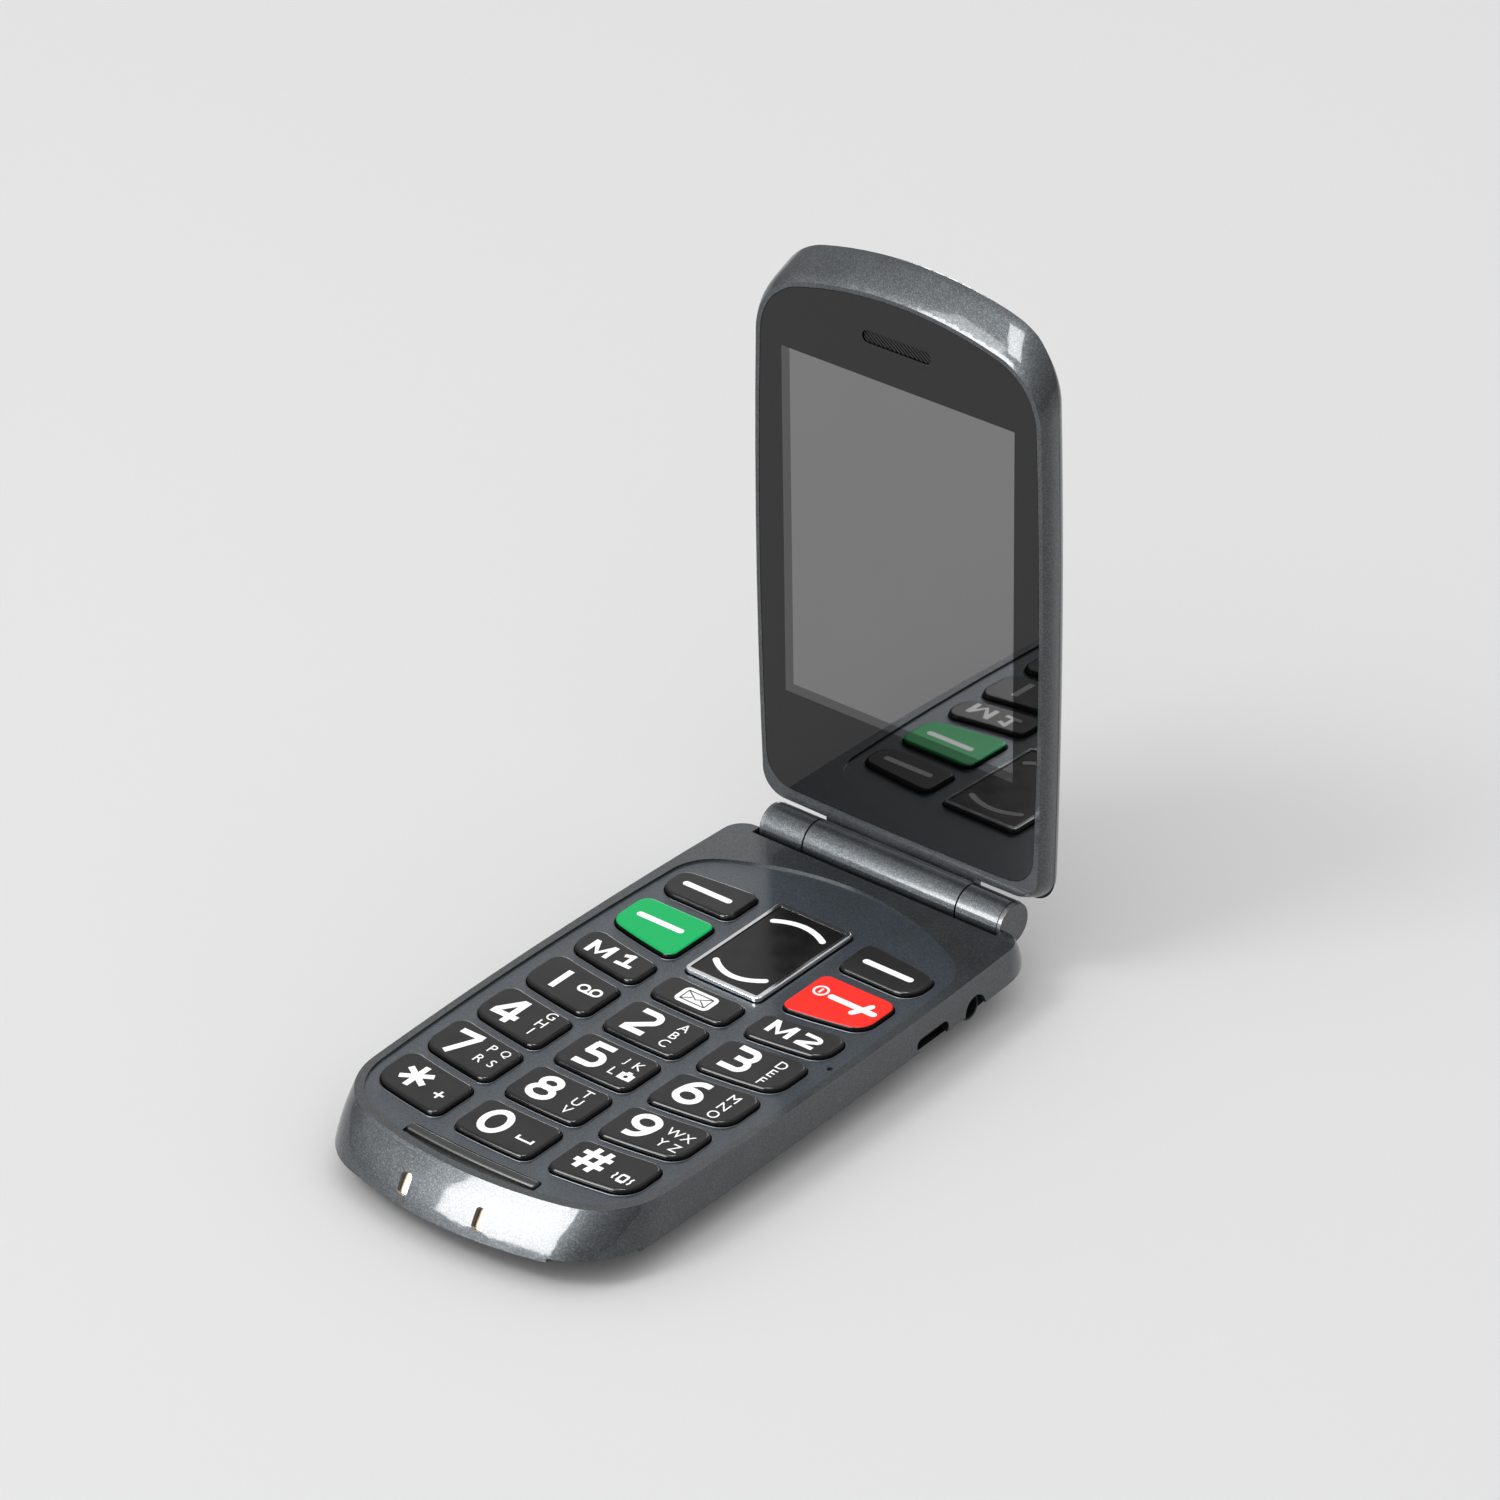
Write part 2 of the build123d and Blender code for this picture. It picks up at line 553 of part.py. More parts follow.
def vibration_motor():
    """The can of the vibration motor."""
    return rod(1.7, -20.0, -11.0, 38.0, HOUSING_Z - 1.7)


def sim_holder():
    """The card tray in front of the battery."""
    tray = box(-13.5, 13.5, -42.0, -26.0, HOUSING_Z - 1.3, HOUSING_Z)
    return tray - box(-12.6, 12.6, -43.0, -27.0, HOUSING_Z - 1.1, HOUSING_Z - 0.3)


def microphone():
    """The microphone under its hole at the right edge."""
    return post(0.95, MIC_PLACE[0], MIC_PLACE[1], BOARD_Z, UNDER_PANEL - 0.05)


# ---------------------------------------------------------------- lid, drawn flat: y from the axis, z = 0 on the axis
def lid_level(off):
    """Height in the lid's own frame of a plane off behind its front face."""
    return -LID_SET - off


def lid_front_sizes(off):
    """Outline of the lid's front frame at a depth: thin rim at the sides, wide slope at the tip."""
    share = min(off / LID_SEAM_TIP, 1.0)
    side = min(off / 1.2, 1.0) ** 0.6
    rise = share ** 0.8
    half = LID_HALF - 0.45 * (1 - side)
    top = GLASS_TOP + GLASS_MARGIN + (LID_TOP - GLASS_TOP - GLASS_MARGIN) * rise
    return (half, half - 0.8, LID_LOW - LID_TUCK * share, top, 0.3, 5.2, 4.2, 10.5 + 2.0 * share)


def lid_back_sizes(off):
    """Outline of the lid's back cover at a depth: it curves in all round towards the flat back."""
    share = (off - LID_SEAM) / (LID_DEPTH - LID_SEAM)
    inset = 0.15 + 1.6 * share + 4.8 * share ** 3
    tip = max(off - LID_SEAM_TIP, 0) / (LID_DEPTH - LID_SEAM_TIP)
    top = LID_TOP - 0.15 - 6.0 * tip ** 2 + min(off - LID_SEAM_TIP, 0) * 0.7
    return (LID_HALF - inset, LID_HALF - 0.8 - inset, LID_LOW - LID_TUCK + inset, top, 0.3, 5.2, 4.2, 12.5)


def lid_stack(sizes, offs, inset=0.0, shift=0.0):
    """A smooth body through the lid's outlines, deepest first."""
    sections = []
    for off in sorted(offs, reverse=True):
        half, half_end, low, top, low_bow, top_bow, low_r, top_r = sizes(off)
        sections.append((
            lid_level(off) + shift,
            (half - inset, half_end - inset, low + inset, top - inset, low_bow, top_bow, low_r - inset, top_r - inset),
        ))
    return stack(sections)


def seam_side(gap, behind):
    """The space on one side of the lid's seam, which runs deeper towards the tip."""
    near, far = lid_level(LID_SEAM + gap), lid_level(LID_SEAM_TIP + gap)
    limit = lid_level(20) if behind else lid_level(-10)
    points = [(-20, near), (84, near), (94, far), (120, far), (120, limit), (-20, limit)]
    lines = [Line(points[i], points[(i + 1) % len(points)]) for i in range(len(points))]
    side = extrude(Plane.YZ * make_face(Curve() + lines), 40, both=True)
    return side


def glass_face(inset):
    """The outline of the glass."""
    return plan(
        LID_HALF - 0.45 - GLASS_MARGIN - inset, LID_HALF - 1.45 - GLASS_MARGIN - inset, GLASS_LOW + inset,
        GLASS_TOP - inset, 0.3, 5.0, 5.0 - inset, 9.8 - inset,
    )


CAMERA_Y = 84.0
CAMERA_R = 3.6
SLOT_Y = 87.2
SLOT_SIZE = (12.7, 2.0)
LEDGE = 1.7                 # depth of the frame's ledge behind the glass
WEB_HALF = 14.2


def lid_front_frame():
    """The lid's painted front: rim, sloping tip, ledge for the glass, and the middle barrel of the hinge."""
    body = lid_stack(lid_front_sizes, (0, 0.6, 1.2, 2.6, LID_SEAM_TIP + 0.2)) - seam_side(0, True)
    hollow = lid_stack(lid_front_sizes, (LEDGE, 2.6, LID_SEAM_TIP + 1.0), LID_WALL)
    body -= hollow
    body -= extrude(Pos(0, 0, lid_level(GLASS_THICK + 0.1)) * glass_face(-0.08), 5)
    body -= box(-VIEW_HALF, VIEW_HALF, VIEW_LOW, VIEW_TOP, lid_level(5), lid_level(-1))
    body -= extrude(Pos(0, SLOT_Y, lid_level(LEDGE + 1)) * stadium(SLOT_SIZE[0] + 0.6, SLOT_SIZE[1] + 0.6), 4)
    web = box(-WEB_HALF, WEB_HALF, 0, LID_LOW + 1.8, -BARREL_R + 0.05, lid_level(0.35))
    barrel = Rot(0, 90, 0) * Cylinder(BARREL_R, 2 * BARREL_HALF)
    body += web + barrel
    bore = PIN_R + PIN_RUN
    body -= Pos((CARTRIDGE_IN - 0.5 + 20) / 2, 0, 0) * Rot(0, 90, 0) * Cylinder(bore, 20.5 - CARTRIDGE_IN)
    body -= Pos((BUSH_IN + 0.5 - 20) / 2, 0, 0) * Rot(0, 90, 0) * Cylinder(bore, 20.5 + BUSH_IN)
    for x, y in LID_BOSSES:
        body += post(1.7, x, y, lid_level(LID_SEAM_TIP), lid_level(LEDGE - 0.1))
        body -= post(0.72, x, y, lid_level(LID_SEAM_TIP + 1), lid_level(LEDGE + 0.4))
    return body


LID_BOSSES = [(-21.0, 10.0), (21.0, 10.0), (-19.0, 84.6), (19.0, 84.6)]


def lid_window():
    """The glossy front window, with the earpiece slot."""
    glass = extrude(Pos(0, 0, lid_level(GLASS_THICK)) * glass_face(0), GLASS_THICK - 0.03)
    glass -= extrude(Pos(0, SLOT_Y, lid_level(2)) * stadium(*SLOT_SIZE), 4)
    return glass


def earpiece_mesh():
    """The mesh in the earpiece slot."""
    return extrude(Pos(0, SLOT_Y, lid_level(0.7)) * stadium(SLOT_SIZE[0] - 0.04, SLOT_SIZE[1] - 0.04), 0.3)


def earpiece_receiver():
    """The earpiece speaker behind the slot."""
    part = box(-6, 6, SLOT_Y - 3, SLOT_Y + 3, lid_level(4.0), lid_level(LEDGE + 0.05))
    return fillet(part.edges().filter_by(Axis.Z), 1.2)


def lcd_panel():
    """The display."""
    return box(-23.4, 23.4, 20.6, 82.2, lid_level(3.2), lid_level(LEDGE + 0.05))


def lcd_tray():
    """The pressed tray behind the display."""
    return box(-23.6, 23.6, 20.4, 82.4, lid_level(3.9), lid_level(3.2))


def lid_board():
    """The small board behind the display."""
    return box(-19, 19, 16, 80, lid_level(4.8), lid_level(4.1))


def display_flex():
    """The flat cable that runs from the lid board down to the hinge."""
    return box(-13.5, -8.5, 5.6, 15.9, lid_level(4.6), lid_level(4.4))


def closing_magnet():
    """The magnet that tells the phone that the lid is shut."""
    return box(-15.0, -9.5, 86.0, 89.0, lid_level(3.6), lid_level(2.0))


def camera_module():
    """The camera behind its window in the lid's back."""
    return box(-4, 4, CAMERA_Y - 4, CAMERA_Y + 4, lid_level(6.6), lid_level(4.9)) + post(
        2.6, 0, CAMERA_Y, lid_level(7.5), lid_level(6.6)
    )


def camera_window():
    """The round camera window, flush with the lid's back."""
    return post(CAMERA_R, 0, CAMERA_Y, lid_level(LID_DEPTH - 0.02), lid_level(LID_DEPTH - 0.8))


def lid_back_cover():
    """The lid's outer cover."""
    offs = (LID_SEAM, 5.0, 6.8, 7.9, LID_DEPTH)
    body = lid_stack(lid_back_sizes, offs)
    body -= lid_stack(lid_back_sizes, offs, LID_WALL, 1.1)
    body -= seam_side(0.12, False)
    body -= post(CAMERA_R + 0.03, 0, CAMERA_Y, lid_level(LID_DEPTH + 1), lid_level(LID_DEPTH - 0.8))
    body -= post(2.8, 0, CAMERA_Y, lid_level(LID_DEPTH + 1), lid_level(5))
    return body


def lid_screws():
    """The four screws in the lid."""
    screws = []
    for x, y in LID_BOSSES:
        shank = post(0.7, x, y, lid_level(LID_SEAM_TIP), lid_level(LEDGE + 0.6))
        screws.append(shank + post(1.3, x, y, lid_level(LID_SEAM_TIP + 0.6), lid_level(LID_SEAM_TIP)))
    return Compound(screws)


# ---------------------------------------------------------------- all the pieces
BASE_PIECES = {
    "upper_casing": upper_casing(),
    "rear_housing": rear_housing(),
    "battery_cover": battery_cover(),
    "battery": battery(),
    "battery_contacts": battery_contacts(),
    "base_screws": base_screws(),
    "main_board": main_board(),
    "key_domes": key_domes(),
    "keypad_mat": keypad_mat(),
    "lid_rest_pad": lid_rest_pad(),
    "charging_contacts": charging_contacts(),
    "usb_socket": usb_socket(),
    "audio_socket": audio_socket(),
    "loudspeaker": loudspeaker(),
    "speaker_mesh": speaker_mesh(),
    "vibration_motor": vibration_motor(),
    "sim_holder": sim_holder(),
    "microphone": microphone(),
    "volume_key": volume_key(),
    "hinge_cap_left": hinge_cap(-1),
    "hinge_cap_right": hinge_cap(1),
    "hinge_cartridge": hinge_cartridge(),
    "hinge_bush": hinge_bush(),
    "nav_ring": nav_ring(),
    "nav_key": nav_key(),
}
LID_PIECES = {
    "lid_front_frame": lid_front_frame(),
    "lid_window": lid_window(),
    "lcd_panel": lcd_panel(),
    "lcd_tray": lcd_tray(),
    "earpiece_mesh": earpiece_mesh(),
    "earpiece_receiver": earpiece_receiver(),
    "lid_board": lid_board(),
    "display_flex": display_flex(),
    "closing_magnet": closing_magnet(),
    "camera_module": camera_module(),
    "camera_window": camera_window(),
    "lid_back_cover": lid_back_cover(),
    "lid_screws": lid_screws(),
}

os.makedirs("parts", exist_ok=True)
for name, piece in BASE_PIECES.items():
    export_step(piece, f"parts/{name}.step")
for name, column, row, radii in KEYS:
    export_step(key(column, row, radii), f"parts/{name}.step")
for name, piece in LID_PIECES.items():
    export_step(LID_PLACE * piece, f"parts/{name}.step")
print("pieces", len(BASE_PIECES) + len(KEYS) + len(LID_PIECES))
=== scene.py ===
# %% [markdown]
# # A folding big-button phone
# The phone lies open on a pale floor with its lid standing up. Its solid pieces come ready made from the
# CAD model. This lesson gives them their finishes, prints the marks on the keys, and sets the light.

# %% Load the frame
import json
import math

import bpy
from mathutils import Matrix, Vector


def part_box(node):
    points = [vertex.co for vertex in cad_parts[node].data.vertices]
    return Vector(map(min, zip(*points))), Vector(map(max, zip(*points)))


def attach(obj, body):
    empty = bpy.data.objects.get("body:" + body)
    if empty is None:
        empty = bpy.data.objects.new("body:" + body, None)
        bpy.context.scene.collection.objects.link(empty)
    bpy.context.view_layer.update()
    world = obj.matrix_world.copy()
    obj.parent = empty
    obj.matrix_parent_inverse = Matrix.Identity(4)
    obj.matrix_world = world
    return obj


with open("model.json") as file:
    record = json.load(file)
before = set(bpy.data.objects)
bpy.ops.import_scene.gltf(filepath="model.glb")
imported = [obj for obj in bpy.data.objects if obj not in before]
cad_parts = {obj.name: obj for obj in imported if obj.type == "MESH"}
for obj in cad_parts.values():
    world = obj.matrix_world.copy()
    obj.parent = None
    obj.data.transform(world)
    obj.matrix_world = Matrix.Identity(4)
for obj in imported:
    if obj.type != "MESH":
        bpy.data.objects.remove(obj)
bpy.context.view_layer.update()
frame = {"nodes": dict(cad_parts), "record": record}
NODES = frame["nodes"]
MM = 0.001
print("CAD pieces", len(NODES))

# %% [markdown]
# ## The camera
# The camera stands in front, to the right and above, far away with a long lens, so the phone's edges stay
# nearly parallel. Its three directions are written as a matrix: right, up, and back.

# %% Camera
CAMERA_PLACE = Vector((0.58675613, -0.64521928, 0.59483484))
CAMERA_FORWARD = Vector((-0.56319406, 0.63750637, -0.52573575))
CAMERA_UP = Vector((-0.31874267, 0.41939255, 0.85000764))
SENSOR = 36.0
LENS = 174.353

camera_data = bpy.data.cameras.new("camera")
camera_data.lens = LENS
camera_data.sensor_width = SENSOR
camera_data.clip_start = 0.05
camera_data.clip_end = 20
camera = bpy.data.objects.new("camera", camera_data)
bpy.context.scene.collection.objects.link(camera)
camera_right = CAMERA_FORWARD.cross(CAMERA_UP).normalized()
turn = Matrix((camera_right, CAMERA_UP, -CAMERA_FORWARD)).transposed().to_4x4()
camera.matrix_world = Matrix.Translation(CAMERA_PLACE) @ turn
bpy.context.scene.camera = camera
print("camera at", tuple(round(v, 3) for v in camera.location))

# %% [markdown]
# ## Shader maths as plain sums
# A material is a graph of nodes. Written out by hand it is long, so a small class wraps one output and
# lets it be added, multiplied and compared like a number. Any other node comes from `Paint.node`.

# %% A wrapped socket


class Wire:
    """One output in a material, which ordinary sums can be done with."""

    def __init__(self, paint, socket):
        self.paint = paint
        self.socket = socket

    def math(self, operation, *others, flip=False):
        values = [self, *others]
        if flip:
            values.reverse()
        return self.paint.node("ShaderNodeMath", {"operation": operation}, dict(enumerate(values)))

    def __add__(self, other):
        return self.math("ADD", other)

    def __sub__(self, other):
        return self.math("SUBTRACT", other)

    def __mul__(self, other):
        return self.math("MULTIPLY", other)

    def __rsub__(self, other):
        return self.math("SUBTRACT", other, flip=True)

    __radd__ = __add__
    __rmul__ = __mul__

    def over(self, level, soft=0.0):
        """1 where this is above level, 0 below it, with an edge soft wide."""
        if not soft:
            return self.math("GREATER_THAN", level)
        settings = {"interpolation_type": "SMOOTHSTEP", "clamp": True}
        edges = {"Value": self, "From Min": level - soft / 2, "From Max": level + soft / 2}
        return self.paint.node("ShaderNodeMapRange", settings, edges)

    def under(self, level, soft=0.0):
        return 1 - self.over(level, soft)

    def ramp(self, low, high, start, end):
        """This value's range low..high turned into start..end."""
        edges = {"Value": self, "From Min": low, "From Max": high, "To Min": start, "To Max": end}
        return self.paint.node("ShaderNodeMapRange", {"clamp": True}, edges)


class Paint:
    """A material under construction."""

    def __init__(self, name):
        self.material = bpy.data.materials.new(name)
        self.material.use_nodes = True
        self.tree = self.material.node_tree
        self.shader = self.tree.nodes["Principled BSDF"]
        self.place = self.node("ShaderNodeTexCoord", {}, {}, "Object")
        axes = self.tree.nodes.new("ShaderNodeSeparateXYZ")
        self.tree.links.new(self.place.socket, axes.inputs[0])
        self.x, self.y, self.z = (Wire(self, axes.outputs[i]) for i in range(3))

    def node(self, kind, settings, values, output=0):
        """Add a node: its settings first, then its sockets' values or wires."""
        made = self.tree.nodes.new(kind)
        for key, value in settings.items():
            setattr(made, key, value)
        for key, value in values.items():
            if isinstance(value, Wire):
                self.tree.links.new(value.socket, made.inputs[key])
            else:
                made.inputs[key].default_value = value
        return Wire(self, made.outputs[output])

    def noise(self, scale, detail=2.0, rough=0.5):
        values = {"Vector": self.place, "Scale": scale, "Detail": detail, "Roughness": rough}
        return self.node("ShaderNodeTexNoise", {}, values)

    def cells(self, scale):
        """A random colour in each of many small cells."""
        return self.node("ShaderNodeTexVoronoi", {}, {"Vector": self.place, "Scale": scale}, "Color")

    def mix(self, share, first, second):
        """A colour between first and second."""
        settings = {"data_type": "RGBA"}
        return self.node("ShaderNodeMix", settings, {0: share, 6: rgba(first), 7: rgba(second)}, 2)

    def bump(self, height, strength, depth):
        """A surface tilt from a height."""
        return self.node("ShaderNodeBump", {}, {"Strength": strength, "Distance": depth, "Height": height})

    def finish(self, **sockets):
        """Set the shader's sockets, given by name with _ for each space."""
        for key, value in sockets.items():
            socket = self.shader.inputs[key.replace("_", " ")]
            if isinstance(value, Wire):
                self.tree.links.new(value.socket, socket)
            else:
                socket.default_value = rgba(value) if socket.type == "RGBA" else value
        return self.material


def rgba(colour):
    """A colour with its alpha, or a wire as it is."""
    return colour if isinstance(colour, Wire) else (*colour[:3], 1.0)


print("shader helpers ready")

# %% [markdown]
# ## Metallic paint
# The casing is moulded plastic under a dark lacquer full of tiny silver flakes, with a clear coat on top.
# Each flake is a small mirror with its own tilt. Small Voronoi cells give every flake a brightness, and a
# fine noise bump tilts them. The sunken key panel has the same lacquer in a slate tone, so one material
# tells the two apart by height.

# %% Metallic paint
PANEL_TOP = 10.6 * MM
FLAKES_PER_METRE = 6500


def flake_paint(name, dark, light, panel=None, rough=0.44):
    """Metallic lacquer between two tones; panel is the pair of tones of the sunken key panel."""
    paint = Paint(name)
    flakes = paint.cells(FLAKES_PER_METRE)
    spark = paint.node("ShaderNodeSeparateColor", {}, {0: flakes})
    cloud = paint.noise(140, 3.0)
    glint = spark * spark * 0.85 + cloud.ramp(0.3, 0.7, 0.0, 0.15)
    tone = paint.mix(glint, dark, light)
    metal = spark.ramp(0.0, 1.0, 0.75, 0.95)
    if panel:
        on_panel = paint.z.over(PANEL_TOP - 0.06 * MM) * paint.z.under(PANEL_TOP + 0.06 * MM)
        tone = paint.mix(on_panel, tone, paint.mix(glint, *panel))
        metal = metal - on_panel * 0.45
    return paint.finish(
        Base_Color=tone, Metallic=metal, Roughness=cloud.ramp(0.3, 0.7, rough - 0.03, rough + 0.03),
        Normal=paint.bump(spark, 0.26, 0.012 * MM), Coat_Weight=0.8, Coat_Roughness=0.085, Coat_IOR=1.5,
    )


casing_paint = flake_paint(
    "gunmetal_lacquer", (0.027, 0.031, 0.034), (0.088, 0.096, 0.102),
    panel=((0.022, 0.031, 0.04), (0.07, 0.09, 0.11)),
)
cap_paint = flake_paint("cap_lacquer", (0.05, 0.053, 0.055), (0.12, 0.125, 0.13), rough=0.5)
print("metallic paints", casing_paint.name, cap_paint.name)

# %% [markdown]
# ## Plastics and rubber
# The keys are soft-touch black, neither glossy nor dull, with a grain too fine to see from afar. The call
# and end keys carry a coloured face printed on top, so the colour stops just below the key's soft edge.
# The coloured face also glows faintly, a painted light that keeps it bright.

# %% Keys
KEY_TOP = 11.45 * MM


def key_plastic(name, face=None):
    """Soft black plastic, with an optional coloured face that glows faintly as painted light."""
    paint = Paint(name)
    grain = paint.noise(6500, 2.0, 0.6)
    patch = paint.noise(260, 2.0)
    tone = paint.mix(patch.ramp(0.3, 0.7, 0.0, 1.0), (0.0065, 0.006, 0.0058), (0.0105, 0.01, 0.0096))
    if face:
        printed = paint.z.over(KEY_TOP - 0.17 * MM)
        ink = paint.mix(grain.ramp(0.3, 0.7, 0.0, 1.0), tuple(v * 0.94 for v in face), face)
        tone = paint.mix(printed, tone, ink)
        # the printed face glows faintly: painted light that keeps the coloured face bright
        paint.finish(Emission_Color=paint.mix(printed, (0, 0, 0), ink), Emission_Strength=0.14)
    edge = paint.z.under(KEY_TOP - 0.03 * MM, 0.05 * MM)
    rough = patch.ramp(0.3, 0.7, 0.34, 0.42) - edge * 0.2
    return paint.finish(
        Base_Color=tone, Roughness=rough, Specular_IOR_Level=0.15 if face else 0.32,
        Normal=paint.bump(grain, 0.18, 0.012 * MM),
    )


key_black = key_plastic("key_black")
key_green = key_plastic("key_green", (0.0, 0.47, 0.125))
key_red = key_plastic("key_red", (1.0, 0.028, 0.017))
print("key finishes", key_black.name, key_green.name, key_red.name)

# %% Plain plastics, rubber, and metals


def plastic(name, colour, rough, grain_scale=3000, depth=0.02, coat=0.0):
    """Moulded plastic with a spark-eroded grain."""
    paint = Paint(name)
    grain = paint.noise(grain_scale, 3.0, 0.6)
    patch = paint.noise(150, 2.0)
    tone = paint.mix(patch, tuple(v * 0.8 for v in colour), tuple(v * 1.15 for v in colour))
    return paint.finish(
        Base_Color=tone, Roughness=grain.ramp(0.3, 0.7, rough - 0.06, rough + 0.08),
        Normal=paint.bump(grain, 0.4, depth * MM), Coat_Weight=coat, Coat_Roughness=0.15,
    )


def metal(name, colour, rough, wear=0.06):
    """Plain metal with a faint wear in its shine."""
    paint = Paint(name)
    smear = paint.noise(700, 4.0, 0.65)
    tone = paint.mix(smear, tuple(v * 0.86 for v in colour), colour)
    return paint.finish(
        Base_Color=tone, Metallic=1.0, Roughness=smear.ramp(0.3, 0.7, rough, rough + wear),
        Normal=paint.bump(smear, 0.08, 0.01 * MM),
    )


FINISHES = {
    "gunmetal_paint": casing_paint,
    "black_plastic": plastic("back_black", (0.007, 0.007, 0.0075), 0.5, 2600, 0.03),
    "black_rubber": plastic("pad_rubber", (0.012, 0.0115, 0.011), 0.42, 4200, 0.012, coat=0.2),
    "key_black": key_black,
    "key_green": key_green,
    "key_red": key_red,
    "bright_chrome": metal("chrome", (0.86, 0.87, 0.88), 0.05, 0.05),
    "gilt": metal("contact_gold", (0.62, 0.5, 0.36), 0.4),
    "socket_steel": metal("socket_shell", (0.07, 0.07, 0.072), 0.45),
    "screw_steel": metal("plain_steel", (0.6, 0.6, 0.61), 0.3),
    "brass_bush": metal("turned_brass", (0.72, 0.56, 0.27), 0.3),
    "dark_metal": metal("black_metal", (0.035, 0.035, 0.037), 0.45),
    "battery_wrap": plastic("battery_wrap", (0.16, 0.175, 0.19), 0.4),
    "circuit_board": plastic("solder_mask", (0.01, 0.09, 0.04), 0.35, 900),
    "mat_rubber": plastic("clear_silicone", (0.42, 0.42, 0.4), 0.45),
    "cable_film": plastic("amber_film", (0.5, 0.25, 0.05), 0.3),
}
print("finishes", len(FINISHES))

# %% [markdown]
# ## The front window
# A black mask is printed behind the glass, with a clear opening over the display. Switched off, the
# display is a plain grey, painted on the glass here. The glass is thick, and along the left and lower sides
# of the opening a slightly darker strip is painted shade: it stands for the shaded step down to the display.
# Everything is read along the lid, so the material turns its coordinates
# into the lid's own: across, and up from the hinge.

# %% Front window
HINGE_Y = 49.8 * MM
HINGE_Z = 10.44 * MM
LID_LEAN = math.radians(1.7)
VIEW_HALF = 21.6 * MM
VIEW_LOW = 22.9 * MM
VIEW_TOP = 80.6 * MM
STEP = 1.55 * MM


def along_lid(paint):
    """Height along the standing lid, from the hinge."""
    return (paint.y - HINGE_Y) * math.sin(LID_LEAN) + (paint.z - HINGE_Z) * math.cos(LID_LEAN)


def window_glass():
    """Black printed glass with the display painted in its opening, and a strip of painted shade for the step
    down to it.
    """
    paint = Paint("window_glass")
    up = along_lid(paint)

    def opening(left, right, low, top):
        return paint.x.over(left) * paint.x.under(right) * up.over(low) * up.under(top)

    view = opening(-VIEW_HALF, VIEW_HALF, VIEW_LOW, VIEW_TOP)
    clear_of_painted_step_shade = opening(-VIEW_HALF + STEP, VIEW_HALF, VIEW_LOW + STEP, VIEW_TOP)
    haze = paint.noise(60, 2.0)
    grey = paint.mix(haze, (0.186, 0.187, 0.191), (0.198, 0.198, 0.202))
    # a darker strip painted along the left and lower sides of the opening: painted shade of the step down to
    # the display
    grey = paint.mix(clear_of_painted_step_shade, (0.07, 0.071, 0.073), grey)
    return paint.finish(
        Base_Color=paint.mix(view, (0.002, 0.002, 0.002), grey), Metallic=view,
        Roughness=haze.ramp(0.3, 0.7, 0.02, 0.03), Specular_IOR_Level=0.0,
        Coat_Weight=1.0, Coat_IOR=1.5, Coat_Roughness=0.012,
    )


FINISHES["window_glass"] = window_glass()
FINISHES["display"] = plastic("display_grey", (0.2, 0.2, 0.2), 0.2)
print("window from", VIEW_LOW, "to", VIEW_TOP)

# %% [markdown]
# ## Camera window and earpiece
# The camera looks out of a small disc of dark glass on the lid's back, with a bright trim ring at its edge
# and a lens in the middle. All are circles round one point, so their distance from it is enough. The
# earpiece is a slot filled with black mesh, whose ridges run aslant: one sine of two added coordinates.

# %% Camera window and earpiece
CAMERA_UP_LID = 84.0 * MM
CAMERA_RADIUS = 3.6 * MM
TRIM_INSIDE = 2.95 * MM
CELL_RADIUS = 1.5 * MM
LENS_RADIUS = 1.15 * MM
EDGE_BLUR = 0.06 * MM
WEAVE_PITCH = 0.62 * MM


def camera_paint():
    """Dark glass printed black, with a bright trim ring and a lens under its middle."""
    paint = Paint("camera_glass")
    up = along_lid(paint) - CAMERA_UP_LID
    radius = (paint.x * paint.x + up * up).math("SQRT")
    trim = radius.over(TRIM_INSIDE, 0.1 * MM)
    cell = radius.under(CELL_RADIUS, EDGE_BLUR) * radius.over(LENS_RADIUS, EDGE_BLUR)
    lens = radius.under(LENS_RADIUS, EDGE_BLUR)
    tone = paint.mix(lens, (0.004, 0.004, 0.005), (0.012, 0.01, 0.03))
    tone = paint.mix(trim.math("MAXIMUM", cell * 0.3), tone, (0.55, 0.56, 0.58))
    return paint.finish(
        Base_Color=tone, Metallic=trim, Roughness=radius.ramp(0, CAMERA_RADIUS, 0.05, 0.22), Coat_Weight=1.0,
        Coat_Roughness=0.02, Normal=paint.bump(lens - cell, 0.3, 0.1 * MM),
    )


def earpiece_paint():
    """Black woven mesh with ridges running aslant."""
    paint = Paint("earpiece_weave")
    ridge = ((paint.x * 0.75 + along_lid(paint)) * (math.tau / WEAVE_PITCH)).math("SINE")
    return paint.finish(
        Base_Color=paint.mix(ridge.ramp(-1, 1, 0, 1), (0.001, 0.001, 0.001), (0.02, 0.02, 0.021)),
        Roughness=ridge.ramp(-1, 1, 0.7, 0.4), Specular_IOR_Level=0.12,
        Normal=paint.bump(ridge, 0.8, 0.08 * MM),
    )


FINISHES["camera_glass"] = camera_paint()
weave = earpiece_paint()
print("camera and mesh", FINISHES["camera_glass"].name, weave.name)

# %% [markdown]
# ## Dress the CAD pieces
# Each row of the record names the material slot of a piece. Its finish goes on the piece's first slot.

# %% Assign the finishes
for row in frame["record"]["subparts"]:
    node = NODES[row["node"]]
    node.data.materials.clear()
    node.data.materials.append(FINISHES[row["material_slot"]])
for name in ("hinge_cap_left", "hinge_cap_right"):
    NODES[name].data.materials[0] = cap_paint
NODES["earpiece_mesh"].data.materials[0] = weave

